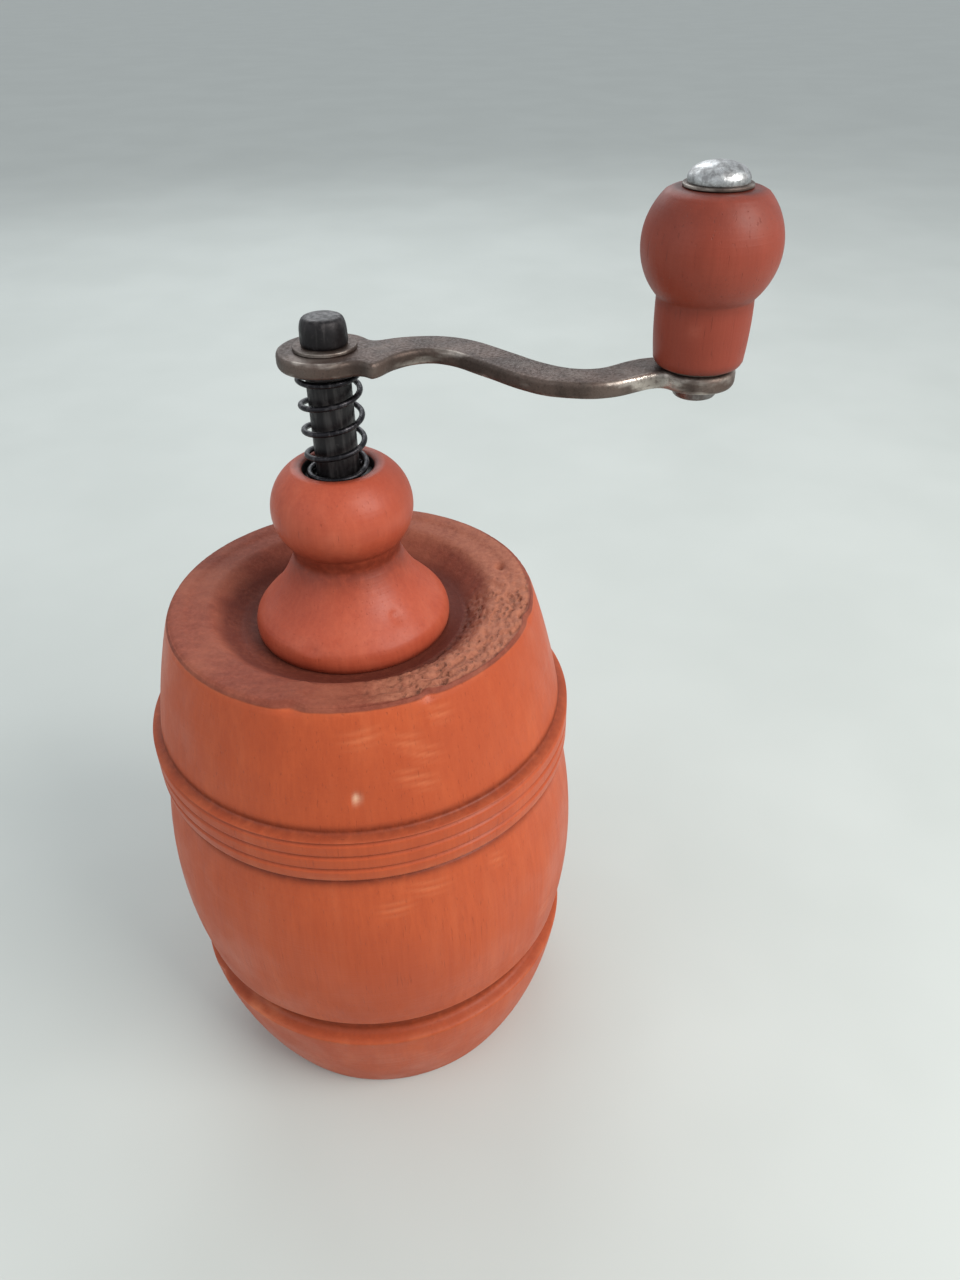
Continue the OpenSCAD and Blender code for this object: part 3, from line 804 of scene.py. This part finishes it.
def respace(loop, step):
    """The same closed loop with evenly spaced points."""
    lengths = [(b - a).length for a, b in zip(loop, loop[1:] + loop[:1])]
    total = sum(lengths)
    count = max(24, round(total / step))
    result, i, passed = [], 0, 0.0
    for k in range(count):
        target = total * k / count
        while passed + lengths[i] < target:
            passed += lengths[i]
            i += 1
        result.append(loop[i].lerp(loop[(i + 1) % len(loop)], (target - passed) / lengths[i]))
    return result


def relax(loop, rounds):
    """Rounds the corners of a closed loop a little."""
    for _ in range(rounds):
        loop = [(loop[i - 1] + loop[i] * 2 + loop[(i + 1) % len(loop)]) / 4 for i in range(len(loop))]
    return loop


def inset(loop, distance):
    """Moves each point of a counter-clockwise loop inward."""
    moved = []
    for i, p in enumerate(loop):
        way = (loop[(i + 1) % len(loop)] - loop[i - 1]).normalized()
        moved.append(p + Vector((-way.y, way.x)) * distance)
    return moved


PIN_R = 2.0
# Rounded edge of the strip from its side to its flat: (inset, depth below the flat)
EDGE_ROUND = ((0.0, 0.62), (0.05, 0.36), (0.17, 0.16), (0.36, 0.04), (0.62, 0.0))
# Bright places of the strip, polished steel with painted highlights along its front edge: plan position and
# size
BRIGHT = (
    (7.4, -5.2, 1.0), (-2.5, -5.9, 2.6), (31.5, -4.5, 1.2), (37.5, -4.5, 3.6), (44.5, -4.0, 1.6),
    (48.5, -4.4, 1.3),
)


def arm_abrasion_and_glint(place, into):
    """How bright the steel is drawn: bare along the rounded edges and in a few polished places, with painted
    highlights on the side face and along the front edge.
    """
    spot = max(near((place - Vector((x, y))).length, 0, size) for x, y, size in BRIGHT)
    # Painted highlight: the side face is drawn brighter, and the rounded edges brightest.
    edge = 0.6 if 0.04 < into < 0.4 else 0.35 if into < 0.04 else 0.05
    return min(1.0, edge + spot * (1.0 if into < 0.4 else 0.2))


def build_arm(material):
    """Strip with the plan of its CAD node, rounded edges and a slightly uneven thickness."""
    outer = max(flat_loops("crank_arm", arm_hi.z), key=lambda p: abs(loop_area(p)))
    if loop_area(outer) < 0:
        outer.reverse()
    outer = relax(respace(outer, 0.3), 5)
    rings = []
    for into, drop in reversed(EDGE_ROUND):
        rings.append((into, arm_lo.z + drop))
    for into, drop in EDGE_ROUND:
        rings.append((into, arm_hi.z - drop))
    points, abrasion_and_sheen = [], []
    count = len(outer)
    for into, z in rings:
        for i, p in enumerate(inset(outer, into)):
            sway = 0.05 * noise.noise(Vector((p.x * 0.25, p.y * 0.25, z * 0.1)))
            points.append((p.x, p.y, min(max(z + sway, arm_lo.z), arm_hi.z)))
            abrasion_and_sheen.append(arm_abrasion_and_glint(p, into))
    faces = []
    for k in range(len(rings) - 1):
        for i in range(count):
            j = (i + 1) % count
            faces.append((k * count + i, k * count + j, (k + 1) * count + j, (k + 1) * count + i))
    last = (len(rings) - 1) * count
    faces.append(tuple(reversed(range(count))))
    faces.append(tuple(range(last, last + count)))
    piece = make_object("crank", points, faces, material, {"abrasion_and_sheen": abrasion_and_sheen})
    return stand_for(piece, "crank_arm", "crank")


def build_washer(node, body, material, bore, centre=(0, 0), edge=0.14):
    """Round washer with softened edges in the space of its CAD node."""
    lo, hi = low_high(node)
    r = (hi.x - lo.x) / 2
    outline = fillet([(bore, lo.z, edge), (r, lo.z, edge), (r, hi.z, edge), (bore, hi.z, edge)])
    masks = {"abrasion_and_sheen": lambda r_, z, a: 0.8 * near(r_, r, 0.2) if z > lo.z + 0.1 else 0.0}
    piece = lathe(node + "_ring", outline, material, centre, 96, masks=masks)
    return stand_for(piece, node, body)


def build_nut(material):
    """Round nut with a softened shoulder."""
    lo, hi = low_high("crank_nut")
    r = (hi.x - lo.x) / 2
    h = hi.z - lo.z
    corners = [(0, lo.z, 0), (r - 0.15, lo.z, 0.2), (r, lo.z + 0.35, 0.3)]
    corners += [(r * 0.985, lo.z + h * 0.66, 0.8), (r * 0.84, hi.z - 0.1, 0.7), (0, hi.z, 0)]
    outline = fillet(corners, closed=False)
    shape = lambda r_, z, a: (-0.03 + 0.03 * speck(r_, z, a, 0.7) if r_ > 1 else 0.0, 0.0)
    outline = even_out(outline, lambda p: 0.3, closed=False)
    piece = lathe("top_nut", outline, material, turns=96, closed=False, shape=shape)
    return stand_for(piece, "crank_nut", "crank")


def build_pin(material):
    """Pin with a domed head over the knob and a dark, flattened tail under the arm."""
    lo, hi = low_high("knob_pin")
    head_z = low_high("knob_cap_ring")[1].z
    rise = hi.z - head_z
    head_r = (hi.x - lo.x) / 2
    outline = [(0, lo.z, 0), (2.5, lo.z, 0.35), (3.08, arm_lo.z - 0.05, 0.15), (PIN_R, arm_lo.z, 0)]
    outline += [(PIN_R, head_z, 0), (head_r - 0.1, head_z, 0.1)]
    steps = 12
    for i in range(1, steps + 1):
        t = math.radians(90 * i / steps)
        outline.append((head_r * math.cos(t), head_z + 0.25 + (rise - 0.25) * math.sin(t) ** 0.9, 0))
    outline[-1] = (0, hi.z, 0)
    shape = lambda r, z, a: (-0.04 + 0.05 * speck(r, z, a, 0.8) if 0.5 < r and z > head_z + 0.2 else 0.0, 0.0)
    outline = fillet(outline, closed=False)
    # The tail, up to the top of the arm, is drawn dark brown.
    masks = {"dark_tail": lambda r, z, a: float(z < arm_hi.z) * (0.75 + 0.25 * speck(r, z, a, 0.8))}
    piece = lathe("knob_rivet", outline, material, (knob_x, 0), 96, closed=False, shape=shape, masks=masks)
    return stand_for(piece, "knob_pin", "crank")


# Turns at each end of the spring that lie close together
END_COIL = 0.75


def coil_height(turn, turns, low, high, wire):
    """Height of the wire's middle: tight for the end coils and open between them."""
    tight = 1.12 * 2 * wire
    if turn < END_COIL:
        return low + wire + tight * turn
    if turn > turns - END_COIL:
        return high - wire - tight * (turns - turn)
    start = low + wire + tight * END_COIL
    end = high - wire - tight * END_COIL
    return start + (end - start) * (turn - END_COIL) / (turns - 2 * END_COIL)


def build_spring(material):
    """Coil spring of round wire, open in the middle and closed at both ends. It moves with the lid."""
    lo, hi = low_high("lid_spring")
    wire = 0.4
    turns = 5.2
    start_deg = 52
    sides = 12
    per_turn = 48
    middle_r = (hi.x - lo.x) / 2 - wire
    count = round(turns * per_turn)
    points, faces = [], []
    for i in range(count + 1):
        turn = turns * i / count
        angle = math.radians(start_deg) + 2 * math.pi * turn
        z = coil_height(turn, turns, lo.z, hi.z, wire)
        for k in range(sides):
            side = 2 * math.pi * k / sides
            r = middle_r + wire * math.cos(side)
            points.append((r * math.cos(angle), r * math.sin(angle), z + wire * math.sin(side)))
    for i in range(count):
        for k in range(sides):
            a, b = i * sides + k, i * sides + (k + 1) % sides
            faces.append((a, a + sides, b + sides, b))
    faces.append(tuple(range(sides)))
    faces.append(tuple(reversed(range(count * sides, (count + 1) * sides))))
    piece = make_object("coil_spring", points, faces, material)
    stand_for(piece, "lid_spring", "lid")
    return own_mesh(piece)


def dress(node, material, edge_mm=0.0):
    """Gives a CAD node its material and, where it has plain sharp edges, a small bevel."""
    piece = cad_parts[node]
    for place in piece.material_slots:
        place.material = material
    if edge_mm:
        weld = piece.modifiers.new("weld", "WELD")
        weld.merge_threshold = 1e-6
        bevel = piece.modifiers.new("bevel", "BEVEL")
        bevel.width = edge_mm * MM
        bevel.segments = 2
        bevel.limit_method = "ANGLE"
        bevel.angle_limit = math.radians(40)


# ---------------------------------------------------------------- stage

# Camera fitted to the view: place in millimetres, turn from the Y axis, tilt down, roll and lens
CAMERA_AT = Vector((42.1, -116.6, 168.15))
CAMERA_HEADING = math.radians(-10.92)
CAMERA_DOWN = math.radians(35.95)
CAMERA_ROLL = math.radians(-1.095)
CAMERA_LENS = 27.03


def place_camera():
    """Looks down on the mill from the front, a hand's length away."""
    heading, down, roll = CAMERA_HEADING, CAMERA_DOWN, CAMERA_ROLL
    ahead = Vector((math.sin(heading) * math.cos(down), math.cos(heading) * math.cos(down), -math.sin(down)))
    right = Vector((math.cos(heading), -math.sin(heading), 0))
    above = right.cross(ahead)
    turned_right = math.cos(roll) * right + math.sin(roll) * above
    above = math.cos(roll) * above - math.sin(roll) * right
    data = bpy.data.cameras.new("camera")
    data.lens = CAMERA_LENS
    data.clip_start = 0.005
    camera = bpy.data.objects.new("camera", data)
    camera.matrix_world = Matrix((turned_right, above, -ahead)).transposed().to_4x4()
    camera.location = CAMERA_AT * MM
    bpy.context.collection.objects.link(camera)
    bpy.context.scene.camera = camera


def area_light(name, place, size, watts, color):
    """Soft square light that looks at the middle of the mill."""
    data = bpy.data.lights.new(name, "AREA")
    data.size = size
    data.energy = watts
    data.color = color
    light = bpy.data.objects.new(name, data)
    light.location = place
    aim = Vector((0, 0, 0.07)) - Vector(place)
    light.rotation_euler = aim.to_track_quat("-Z", "Y").to_euler()
    bpy.context.collection.objects.link(light)


def build_stage():
    """Plain pale floor, three soft lights and an even pale sky."""
    size = 6.0
    corners = [(-size, -size, 0), (size, -size, 0), (size, size, 0), (-size, size, 0)]
    floor = make_object("floor", [Vector(c) / MM for c in corners], [(0, 1, 2, 3)], floor_paint())
    area_light("key", (0.46, -0.16, 0.44), 0.36, 3.3, (1.0, 0.97, 0.93))
    area_light("fill", (-0.45, -0.40, 0.36), 0.5, 0.6, (0.93, 0.97, 1.0))
    area_light("back", (-0.20, 0.50, 0.50), 0.5, 1.6, (0.95, 0.98, 1.0))
    world = bpy.data.worlds.new("studio")
    world.use_nodes = True
    back = world.node_tree.nodes["Background"]
    back.inputs["Color"].default_value = (0.86, 0.90, 0.94, 1)
    back.inputs["Strength"].default_value = 0.74
    bpy.context.scene.world = world
    bpy.context.scene.view_settings.view_transform = "Standard"


# ---------------------------------------------------------------- the mill

aged = aged_steel()
black = dark_metal("black_steel", (0.012, 0.010, 0.011), (0.05, 0.045, 0.045), 0.34, 0.55, metallic=0.55)
oiled = dark_metal("spring_steel", (0.018, 0.017, 0.020), (0.085, 0.08, 0.085), 0.26, 0.44, metallic=0.85)
rivet = zinc_rivet()
sheet_steel = plain_metal(
    "bare_steel", (0.32, 0.31, 0.30), (0.52, 0.51, 0.49), grain=(0.08, 2.2, 2.2),
    rough_low=0.3, rough_high=0.5, depth=0.03)
burr_steel = plain_metal(
    "burr_steel", (0.07, 0.07, 0.075), (0.16, 0.155, 0.15), grain=(1.8, 1.8, 1.8),
    rough_low=0.4, rough_high=0.62, depth=0.09)
zinc_screw = plain_metal(
    "zinc_screw", (0.42, 0.40, 0.33), (0.66, 0.64, 0.56), grain=(2.0, 2.0, 2.0),
    rough_low=0.28, rough_high=0.45, depth=0.03)
brass = plain_metal(
    "brass", (0.36, 0.24, 0.09), (0.66, 0.47, 0.2), grain=(1.2, 1.2, 1.2),
    rough_low=0.28, rough_high=0.5, depth=0.03)

build_barrel(barrel_wood())
build_lid(lid_wood())
build_knob(knob_wood())
build_arm(aged)
build_nut(black)
build_pin(rivet)
build_spring(oiled)
build_washer("arm_washer", "crank", aged, bore=2.0)
build_washer("spring_washer", "crank", black, bore=3.0)
build_washer("spring_seat", "lid", black, bore=3.1)
build_washer("knob_washer", "crank", aged, bore=PIN_R, centre=(knob_x, 0))
build_washer("knob_cap_ring", "crank", aged, bore=PIN_R, centre=(knob_x, 0))

dress("drive_shaft", black)
dress("lid_bush", brass)
dress("top_bridge", sheet_steel, 0.2)
dress("bridge_bush", brass, 0.15)
dress("bridge_screws", zinc_screw)
dress("burr_ring", burr_steel)
dress("burr_plate", sheet_steel, 0.2)
dress("plate_screws", zinc_screw)
dress("thrust_collar", sheet_steel)
dress("collar_pin", sheet_steel)
dress("burr_cone", burr_steel)
dress("cone_washer", sheet_steel, 0.12)
dress("adjust_nut", brass, 0.3)

place_camera()
build_stage()
